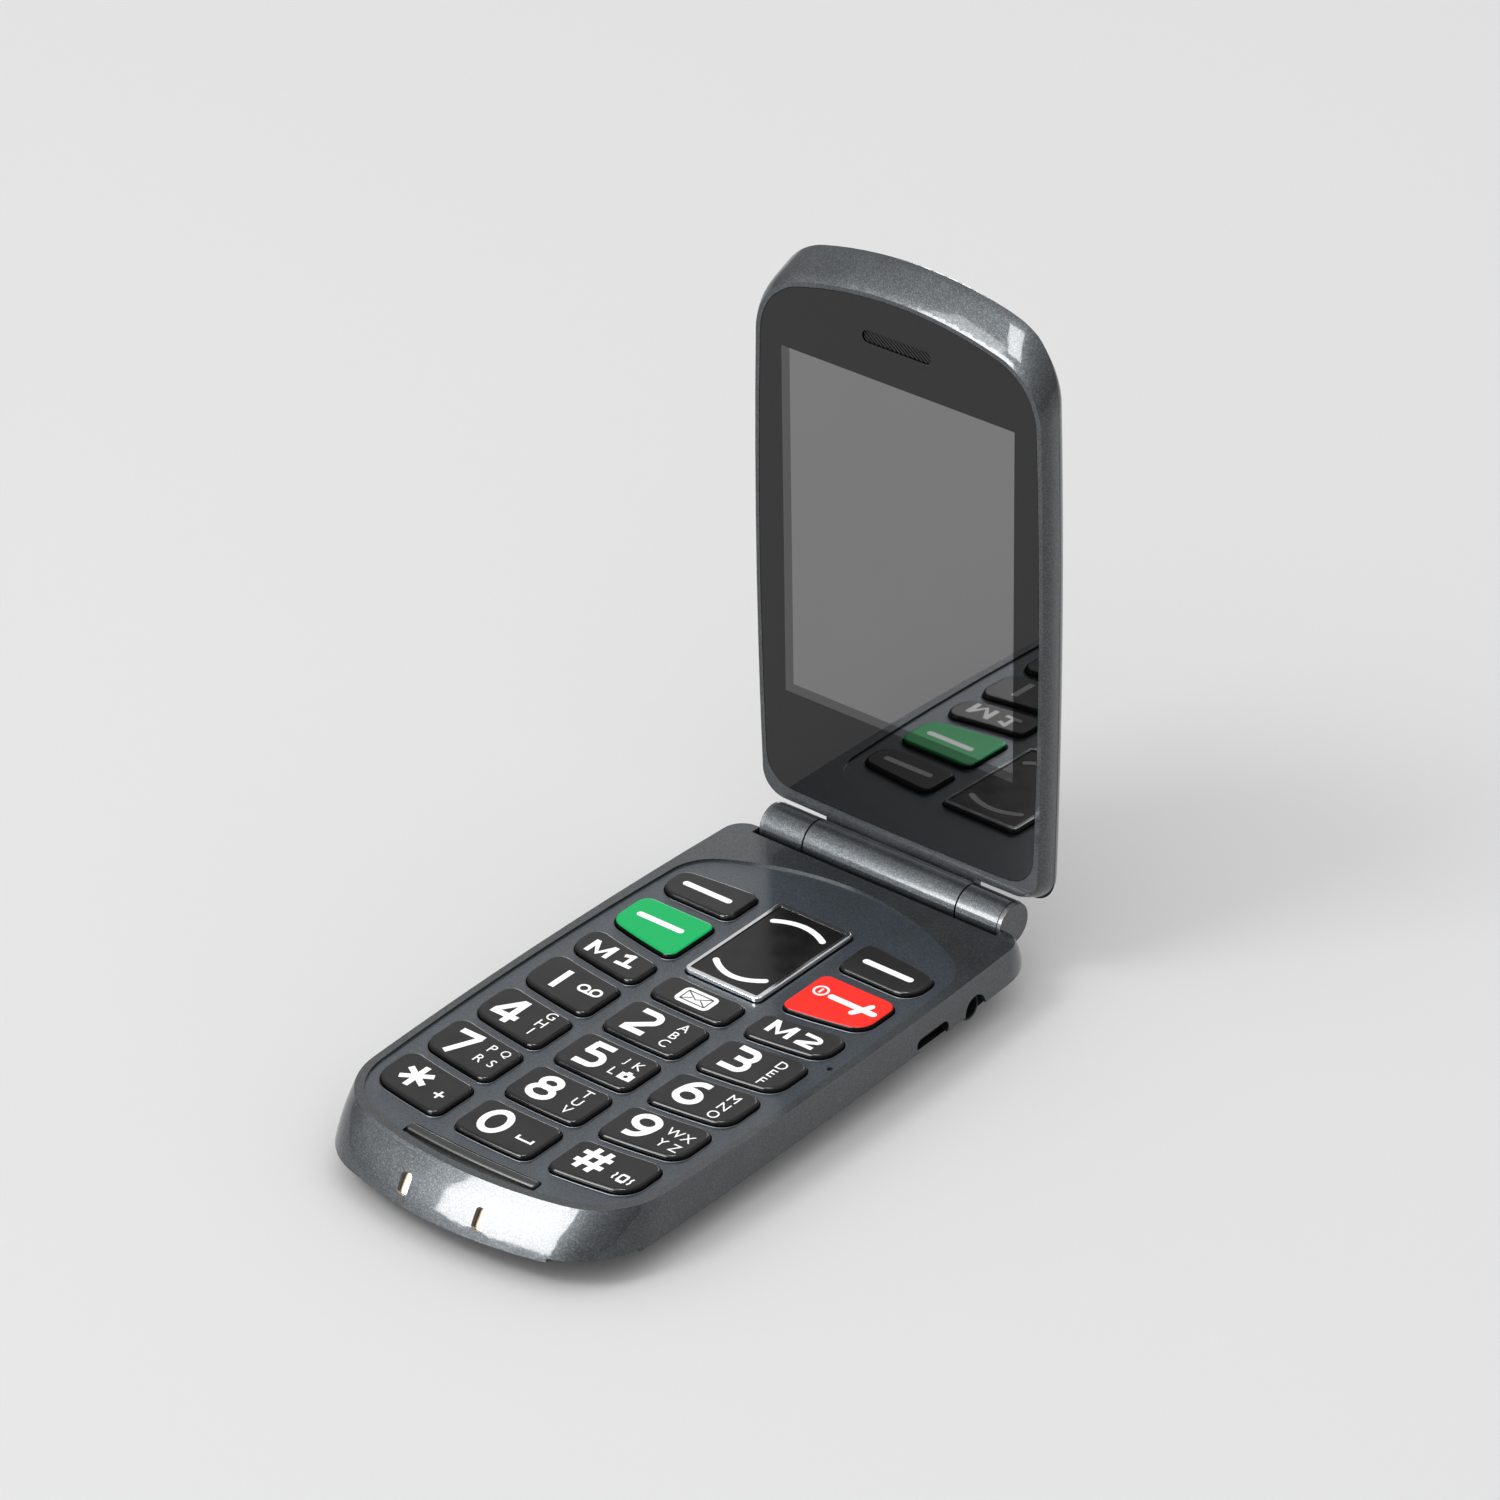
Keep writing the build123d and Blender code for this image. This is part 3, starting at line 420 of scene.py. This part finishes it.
# %% [markdown]
# ## Key marks
# The marks are white print. Each is a thin mesh that lies a hair above its key and rides with it. A small
# letter starts as text, and a digit, a bar or an arc as a curve with flat width. All become meshes, so one
# helper drops them onto the key's top and gives them their thickness.

# %% White ink
MARK_Z = KEY_TOP + 0.006 * MM
MARK_THICK = 0.02 * MM
MARK_STEP = 0.0015 * MM        # crossing strokes lie this much above each other


def ink_paint(name, low, high, glow):
    """Printing ink with a faint grain; glow keeps white print bright under soft light."""
    paint = Paint(name)
    grain = paint.noise(5000, 2.0)
    return paint.finish(
        Base_Color=paint.mix(grain, low, high), Roughness=grain.ramp(0.3, 0.7, 0.42, 0.52),
        Emission_Color=(1, 1, 1), Emission_Strength=glow,
    )


white_ink = ink_paint("white_ink", (0.86, 0.86, 0.85), (0.93, 0.93, 0.92), 0.24)
black_ink = ink_paint("black_ink", (0.006, 0.006, 0.006), (0.012, 0.012, 0.012), 0.0)
print("inks", white_ink.name, black_ink.name)

# %% Strokes


def only(piece):
    """Deselect everything, then select one piece and make it active."""
    bpy.ops.object.select_all(action="DESELECT")
    piece.select_set(True)
    bpy.context.view_layer.objects.active = piece
    return piece


def stroke(path, width, closed=False):
    """A flat ribbon along points in millimetres, with square ends."""
    data = bpy.data.curves.new("stroke", "CURVE")
    data.dimensions = "3D"
    data.twist_mode = "Z_UP"
    data.extrude = width / 2 * MM
    line = data.splines.new("POLY")
    line.points.add(len(path) - 1)
    for point, (x, y) in zip(line.points, path):
        point.co = (x * MM, y * MM, 0, 1)
        point.tilt = math.pi / 2
    line.use_cyclic_u = closed
    mark = bpy.data.objects.new("stroke", data)
    bpy.context.scene.collection.objects.link(mark)
    only(mark)
    bpy.ops.object.convert(target="MESH")
    return bpy.context.object


print("strokes ready")

# %% Dots, bars and rings


def dot(x, y, radius):
    """A filled disc."""
    place = (x * MM, y * MM, 0)
    bpy.ops.mesh.primitive_circle_add(vertices=24, radius=radius * MM, fill_type="NGON", location=place)
    bpy.ops.object.transform_apply(location=True)
    return bpy.context.object


def bar(path, width):
    """A ribbon with round ends."""
    return [stroke(path, width), dot(*path[0], width / 2), dot(*path[-1], width / 2)]


def sweep(x, y, radius_x, radius_y, start, end, steps=24):
    """Points round an ellipse from one angle to another, in degrees."""
    points = []
    for k in range(steps + 1):
        angle = math.radians(start + (end - start) * k / steps)
        points.append((x + radius_x * math.cos(angle), y + radius_y * math.sin(angle)))
    return points


def ring(x, y, radius_x, radius_y, width):
    """A closed ribbon round an ellipse."""
    return stroke(sweep(x, y, radius_x, radius_y, 0, 345, 23), width, True)


print("dots, bars and rings ready")

# %% Small letters


def text_mark(letter, x, y, height):
    """A flat letter centred on x, y, height tall; all in millimetres."""
    bpy.ops.object.text_add(location=(0, 0, 0))
    mark = only(bpy.context.object)
    mark.data.body = letter
    mark.data.resolution_u = 6
    bpy.ops.object.convert(target="MESH")
    mark = bpy.context.object
    corners = [v.co for v in mark.data.vertices]
    low = Vector((min(c.x for c in corners), min(c.y for c in corners), 0))
    high = Vector((max(c.x for c in corners), max(c.y for c in corners), 0))
    scale = height / (high.y - low.y)
    for vertex in mark.data.vertices:
        vertex.co.x = (x + (vertex.co.x - (low.x + high.x) / 2) * scale) * MM
        vertex.co.y = (y + (vertex.co.y - (low.y + high.y) / 2) * scale) * MM
    return mark


def shifted(path, x, y):
    """The path moved by x and y."""
    return [(px + x, py + y) for px, py in path]


print("letters ready")

# %% Printing on a key


def print_marks(name, body, marks, ink=white_ink, level=MARK_Z):
    """Join marks into one thin piece that rides on a key."""
    for place, mark in enumerate(marks):
        only(mark)
        for vertex in mark.data.vertices:
            vertex.co.z = level + place * MARK_STEP
        if mark.data.polygons[0].normal.z < 0:
            bpy.ops.object.mode_set(mode="EDIT")
            bpy.ops.mesh.select_all(action="SELECT")
            bpy.ops.mesh.flip_normals()
            bpy.ops.object.mode_set(mode="OBJECT")
    bpy.ops.object.select_all(action="DESELECT")
    for mark in marks:
        mark.select_set(True)
    bpy.context.view_layer.objects.active = marks[0]
    if len(marks) > 1:
        bpy.ops.object.join()
    piece = only(bpy.context.object)
    piece.name = piece.data.name = name
    bpy.ops.object.shade_flat()
    shell = piece.modifiers.new("thickness", "SOLIDIFY")
    shell.thickness = MARK_THICK
    shell.offset = 1.0
    bpy.ops.object.modifier_apply(modifier=shell.name)
    piece.data.materials.clear()
    piece.data.materials.append(ink)
    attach(piece, body)
    return piece


print("mark helpers ready")

# %% [markdown]
# ## Digits
# The digits are wide and plain, drawn with one even stroke. A font would need stretching, so each digit is a
# few paths through arcs and straight runs, measured from the digit's own middle. A nine is a six turned over.

# %% Digit paths
DIGIT_STROKE = 1.12
SIX = [[(1.55, 2.5), (0.7, 2.5)] + sweep(0.7, -0.95, 2.45, 3.45, 92, 180)]
DIGITS = {
    "2": [
        [(-1.85, 2.5), (0.6, 2.5)] + sweep(0.6, 1.27, 1.3, 1.23, 88, -62) + [(-1.75, -2.2)],
        [(-2.05, -2.5), (2.0, -2.5)],
    ],
    "3": [
        [(-1.85, 2.5), (0.7, 2.5)] + sweep(0.7, 1.28, 1.15, 1.22, 88, -88) + [(-0.8, 0.06)],
        [(-0.8, 0.06), (0.75, 0.06)] + sweep(0.75, -1.22, 1.25, 1.28, 88, -88) + [(-1.95, -2.5)],
    ],
    "4": [[(0.75, 2.75), (-1.95, -1.0)], [(-2.4, -1.35), (2.4, -1.35)], [(0.95, 3.0), (0.95, -3.0)]],
    "5": [
        [(1.8, 2.5), (-1.75, 2.5)], [(-1.3, 2.6), (-1.5, 0.1)],
        [(-1.75, 0.4), (0.5, 0.4)] + sweep(0.5, -1.05, 1.45, 1.45, 88, -88) + [(-1.95, -2.5)],
    ],
    "6": SIX,
    "7": [[(-2.1, 2.5), (2.1, 2.5)], [(1.75, 2.35), (-0.75, -3.0)]],
    "8": [],
    "9": [[(-px, -py) for px, py in path] for path in SIX],
    "0": [],
}
DIGIT_RINGS = {
    "0": [(0, 0, 1.95, 2.5)],
    "6": [(0.05, -1.0, 1.85, 1.5)],
    "8": [(0, 1.32, 1.5, 1.18), (0, -1.12, 1.9, 1.38)],
    "9": [(-0.05, 1.0, 1.85, 1.5)],
}


def digit(sign, x, y):
    """The flat meshes of one digit, its middle at x, y."""
    marks = [stroke(shifted(path, x, y), DIGIT_STROKE) for path in DIGITS[sign]]
    for rx, ry, radius_x, radius_y in DIGIT_RINGS.get(sign, []):
        marks.append(ring(x + rx, y + ry, radius_x, radius_y, DIGIT_STROKE))
    return marks


print("digits drawn", len(DIGITS))

# %% [markdown]
# ## Number keys
# A digit stands left of the middle of its key and its small letters stand in a column on the right.

# %% Number keys
DIGIT_SHIFT = 2.3
LETTER_SHIFT = 3.65
LETTER_HEIGHT = 1.75
LETTER_STEP = 2.3
PAIR_WIDE = 2.4
PAIR_TALL = 2.9


def key_middle(name):
    """The middle of a key, in millimetres."""
    low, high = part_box(name)
    return (low.x + high.x) / 2 / MM, (low.y + high.y) / 2 / MM


LETTERS = {
    "key_2": "ABC", "key_3": "DEF", "key_4": "GHI", "key_6": "MNO", "key_8": "TUV",
    "key_5": ("JK", "L "), "key_7": ("PQ", "RS"), "key_9": ("WX", "YZ"),
}
for name, letters in LETTERS.items():
    x, y = key_middle(name)
    marks = digit(name[-1], x - DIGIT_SHIFT, y)
    column = x + LETTER_SHIFT
    if isinstance(letters, str):
        for row, letter in enumerate(letters):
            marks.append(text_mark(letter, column, y + (1 - row) * LETTER_STEP, LETTER_HEIGHT))
    else:
        for row, pair in enumerate(letters):
            for place, letter in enumerate(pair.strip()):
                across = column + PAIR_WIDE * (place - 0.5)
                marks.append(text_mark(letter, across, y + PAIR_TALL * (0.5 - row), LETTER_HEIGHT))
    if name == "key_5":  # a small camera: body, hump and lens
        cx, cy = column + 1.3, y - 1.6
        marks += [
            stroke([(cx - 1.2, cy), (cx - 0.55, cy)], 1.6), stroke([(cx + 0.55, cy), (cx + 1.2, cy)], 1.6),
            stroke([(cx - 0.6, cy + 0.65), (cx + 0.6, cy + 0.65)], 0.5),
            stroke([(cx - 0.6, cy - 0.65), (cx + 0.6, cy - 0.65)], 0.35),
            ring(cx, cy, 0.5, 0.5, 0.3), stroke([(cx - 0.4, cy + 1.0), (cx + 0.4, cy + 1.0)], 0.5),
        ]
    print_marks("marks_" + name[4:], name, marks)
print("number keys printed", len(LETTERS))

# %% [markdown]
# ## The lowest row and key one
# The star and the hash are crossed bars. Beside them stand a plus, a space sign and a shaking phone; key one
# is a plain bar with the two joined rings of voice mail.

# %% Key one, star, zero, hash
THIN = 0.38
x, y = key_middle("key_1")
marks = [stroke([(x - 1.9, y - 2.4), (x - 1.9, y + 2.4)], 1.05)]
marks += [ring(x + 2.4, y + 0.15, 0.85, 0.8, 0.42), ring(x + 4.7, y + 0.15, 0.85, 0.8, 0.42)]
marks.append(stroke([(x + 2.4, y - 0.65), (x + 4.7, y - 0.65)], 0.4))
print_marks("marks_1", "key_1", marks)

x, y = key_middle("key_star")
cx, cy = x - 1.6, y + 0.3
marks = []
for angle in (90, 30, -30):
    dx, dy = 2.6 * math.cos(math.radians(angle)), 2.6 * math.sin(math.radians(angle))
    marks.append(stroke([(cx - dx, cy - dy), (cx + dx, cy + dy)], 1.0))
marks += [
    stroke([(x + 3.2, y - 1.3), (x + 5.0, y - 1.3)], THIN),
    stroke([(x + 4.1, y - 2.2), (x + 4.1, y - 0.4)], THIN),
]
print_marks("marks_star", "key_star", marks)

x, y = key_middle("key_0")
marks = digit("0", x - DIGIT_SHIFT, y)
marks += [
    stroke([(x + 2.5, y - 1.2), (x + 5.5, y - 1.2)], THIN),
    stroke([(x + 2.69, y - 1.2), (x + 2.69, y - 0.4)], THIN),
    stroke([(x + 5.31, y - 1.2), (x + 5.31, y - 0.4)], THIN),
]
print_marks("marks_0", "key_0", marks)

x, y = key_middle("key_hash")
cx = x - DIGIT_SHIFT
marks = [stroke([(cx - 2.5, y + dy), (cx + 2.5, y + dy)], 0.95) for dy in (-1.05, 1.05)]
marks += [stroke([(cx + dx - 0.3, y - 2.7), (cx + dx + 0.3, y + 2.7)], 1.0) for dx in (-1.05, 1.05)]
px, py = x + 3.9, y - 0.9
marks += [
    stroke([(px - 0.6, py - 0.75), (px - 0.6, py + 0.75)], 0.35),
    stroke([(px + 0.6, py - 0.75), (px + 0.6, py + 0.75)], 0.35),
    stroke([(px - 0.6, py + 0.8), (px + 0.6, py + 0.8)], 0.4),
    stroke([(px - 0.6, py - 0.75), (px + 0.6, py - 0.75)], 0.55),
]
for side in (-1, 1):
    wave = [(px + side * (1.35 + 0.2 * (k % 2)), py - 0.8 + 0.53 * k) for k in range(4)]
    marks.append(stroke(wave, 0.3))
print_marks("marks_hash", "key_hash", marks)
print("lowest row printed")

# %% [markdown]
# ## Memory, mail, call and end keys
# The envelope is a white rounded panel with the envelope drawn over it in thin black lines. A handset lies
# on the end key, seen from the side, next to a ring with a bar in it.

# %% Memory and mail keys
MEMORY_STROKE = 0.85
LETTER_M = [
    [(-1.75, -1.6), (-1.75, 1.6)], [(1.75, -1.6), (1.75, 1.6)], [(-1.75, 1.45), (0, -1.2), (1.75, 1.45)],
]
SMALL_ONE = [[(0.3, 1.6), (0.3, -1.3)], [(-1.3, -1.3), (1.7, -1.3)], [(-1.1, 0.75), (0.4, 1.3)]]
SMALL_TWO = [[(0.8 * px, 0.51 * py) for px, py in path] for path in DIGITS["2"]]
for name, figure in (("key_m1", SMALL_ONE), ("key_m2", SMALL_TWO)):
    x, y = key_middle(name)
    marks = [stroke(shifted(path, x - 2.4, y), MEMORY_STROKE) for path in LETTER_M]
    marks += [stroke(shifted(path, x + 2.6, y), MEMORY_STROKE * 0.85) for path in figure]
    print_marks("marks_" + name[4:], name, marks)

x, y = key_middle("key_mail")
bpy.ops.mesh.primitive_plane_add(size=1, location=(x * MM, (y - 0.15) * MM, 0))
panel = only(bpy.context.object)
panel.scale = (6.3 * MM, 3.8 * MM, 1)
bpy.ops.object.transform_apply(location=True, scale=True)
bpy.ops.object.mode_set(mode="EDIT")
bpy.ops.mesh.select_all(action="SELECT")
bpy.ops.mesh.bevel(offset=1.0 * MM, segments=6, affect="VERTICES")
bpy.ops.object.mode_set(mode="OBJECT")
print_marks("marks_mail", "key_mail", [panel])
left, right, low, high = x - 2.3, x + 2.3, y - 1.3, y + 1.0
lines = [
    stroke([(left, low), (right, low)], 0.2), stroke([(left, high), (right, high)], 0.2),
    stroke([(left, low), (left, high)], 0.2), stroke([(right, low), (right, high)], 0.2),
    stroke([(left, high), (x, y - 0.45), (right, high)], 0.2),
    stroke([(left, low), (x - 0.75, y - 0.2)], 0.18), stroke([(right, low), (x + 0.75, y - 0.2)], 0.18),
]
print_marks("envelope_lines", "key_mail", lines, black_ink, MARK_Z + MARK_THICK + MARK_STEP)
print("envelope strokes", len(lines))

# %% Call, end, soft and navigation keys
CALL_BAR = 1.1
POWER_SIGN = 12.9        # across the phone, the ring's middle on the end key
x, y = key_middle("key_call")
print_marks("marks_call", "key_call", bar([(x - 4.1, y + 0.7), (x + 3.7, y + 0.7)], CALL_BAR))

y = key_middle("key_end")[1]
marks = [
    ring(POWER_SIGN, y + 1.2, 1.1, 1.1, 0.36),
    stroke([(POWER_SIGN, y + 0.65), (POWER_SIGN, y + 1.75)], 0.34),
]
marks += bar([(15.1, y + 0.9), (22.9, y + 0.9)], CALL_BAR) + bar([(20.1, y - 0.5), (20.9, y + 0.9)], CALL_BAR)
marks += bar([(20.9, y + 0.9), (21.5, y + 2.3)], 1.0)
print_marks("marks_end", "key_end", marks)

for name in ("key_soft_left", "key_soft_right"):
    x, y = key_middle(name)
    print_marks("marks_" + name[4:], name, bar([(x - 4.1, y - 0.3), (x + 4.1, y - 0.3)], CALL_BAR))

nav_low, nav_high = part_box("nav_key")
marks = []
for end_y, middle_y in ((28.0, 29.4), (15.0, 13.1)):
    path = [(-4.7 + 9.4 * k / 20, middle_y + (end_y - middle_y) * (k / 10 - 1) ** 2) for k in range(21)]
    marks += bar(path, 1.0)
print_marks("marks_nav", "nav", marks, level=nav_high.z + 0.006 * MM)
print("rocker marks at", round(nav_high.z / MM, 2), "mm")

# %% [markdown]
# ## Lips of the key openings
# Each opening in the key panel has a small rounded lip, which catches the light as a thin line round the key.
# The key itself gives the line: a copy of it is cut level with the panel, the cut becomes a curve set a
# little outwards, and a thin round wire along that curve is the lip.

# %% Opening lips
LIP_RADIUS = 0.08 * MM
LIP_OFFSET = 0.3 * MM
LIPPED_KEYS = [name for name in NODES if name.startswith("key_") and name != "key_domes"]


def lip(name):
    """A thin wire round a key, level with the panel."""
    source = NODES[name]
    copy = bpy.data.objects.new("lip", source.data.copy())
    bpy.context.scene.collection.objects.link(copy)
    only(copy)
    bpy.ops.object.mode_set(mode="EDIT")
    bpy.ops.mesh.select_all(action="SELECT")
    bpy.ops.mesh.remove_doubles(threshold=1e-6)
    bpy.ops.mesh.select_all(action="SELECT")
    bpy.ops.mesh.bisect(plane_co=(0, 0, PANEL_TOP), plane_no=(0, 0, 1), clear_inner=True, clear_outer=True)
    bpy.ops.object.mode_set(mode="OBJECT")
    bpy.ops.object.convert(target="CURVE")
    wire = bpy.context.object
    wire.data.dimensions = "2D"
    wire.data.fill_mode = "NONE"
    wire.data.offset = LIP_OFFSET
    wire.data.bevel_depth = LIP_RADIUS
    wire.data.bevel_resolution = 2
    bpy.ops.object.convert(target="MESH")
    edge = bpy.context.object
    for vertex in edge.data.vertices:
        vertex.co.z += PANEL_TOP
    return edge


lips = [lip(name) for name in LIPPED_KEYS]
print("lips", len(lips), "at", round(max(v.co.z for v in lips[0].data.vertices) / MM, 2), "mm")
bpy.ops.object.select_all(action="DESELECT")
for piece in lips:
    piece.select_set(True)
bpy.context.view_layer.objects.active = lips[0]
bpy.ops.object.join()
lips = only(bpy.context.object)
lips.name = lips.data.name = "opening_lips"
lips.data.materials.clear()
lips.data.materials.append(metal("lip_edge", (0.13, 0.14, 0.155), 0.38))
bpy.ops.object.shade_smooth()
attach(lips, "base")

# %% [markdown]
# ## Floor and light
# The floor is plain, pale and dull. Most of the light comes from the whole sky, brighter overhead, which
# gives broad soft shadows. One small lamp makes the shadows a little firmer. Three more lamps show only in
# reflections: they draw the bright patches on the nose, the lid's tip and the rear edges, and cast no shadow.

# %% Floor
bpy.ops.mesh.primitive_plane_add(size=6, location=(0, 0.3, 0))
floor = bpy.context.object
floor.name = "floor"
floor_paint = Paint("pale_floor")
pale = floor_paint.finish(Base_Color=(0.8, 0.8, 0.798), Roughness=0.8, Specular_IOR_Level=0.0)
floor.data.materials.append(pale)
print("floor", floor.name)

# %% Sky
HORIZON_LIGHT = 0.3
ZENITH_LIGHT = 1.12
world = bpy.data.worlds.new("studio")
bpy.context.scene.world = world
world.use_nodes = True
sky = world.node_tree
sky_place = sky.nodes.new("ShaderNodeTexCoord")
sky_axes = sky.nodes.new("ShaderNodeSeparateXYZ")
sky_light = sky.nodes.new("ShaderNodeMapRange")
sky.links.new(sky_place.outputs["Generated"], sky_axes.inputs[0])
sky.links.new(sky_axes.outputs["Z"], sky_light.inputs["Value"])
sky_light.inputs["To Min"].default_value = HORIZON_LIGHT
sky_light.inputs["To Max"].default_value = ZENITH_LIGHT
sky.links.new(sky_light.outputs[0], sky.nodes["Background"].inputs["Strength"])
sky.nodes["Background"].inputs["Color"].default_value = (0.99, 0.99, 1.0, 1)
print("sky from", HORIZON_LIGHT, "to", ZENITH_LIGHT)

# %% Lamps
LAMP_AIM = Vector((0, 0, 0.03))


def soft_light(name, place, size, watts):
    """A square lamp at a place, turned to the phone."""
    data = bpy.data.lights.new(name, "AREA")
    data.shape = "SQUARE"
    data.size = size
    data.energy = watts
    light = bpy.data.objects.new(name, data)
    light.location = place
    light.rotation_euler = (LAMP_AIM - Vector(place)).to_track_quat("-Z", "Y").to_euler()
    bpy.context.scene.collection.objects.link(light)
    return light


soft_light("key_light", (-0.35, -0.62, 1.05), 0.4, 3.0)
for name, place, size, watts in (
    ("nose_light", (-0.3, -0.97, 0.56), 0.74, 30.0),
    ("tip_light", (0.12, -0.38, 1.2), 0.46, 10.0),
    ("rim_light", (-0.85, 1.25, 0.2), 0.4, 3.5),
):
    soft_light(name, place, size, watts).visible_diffuse = False
bpy.context.scene.view_settings.view_transform = "Standard"
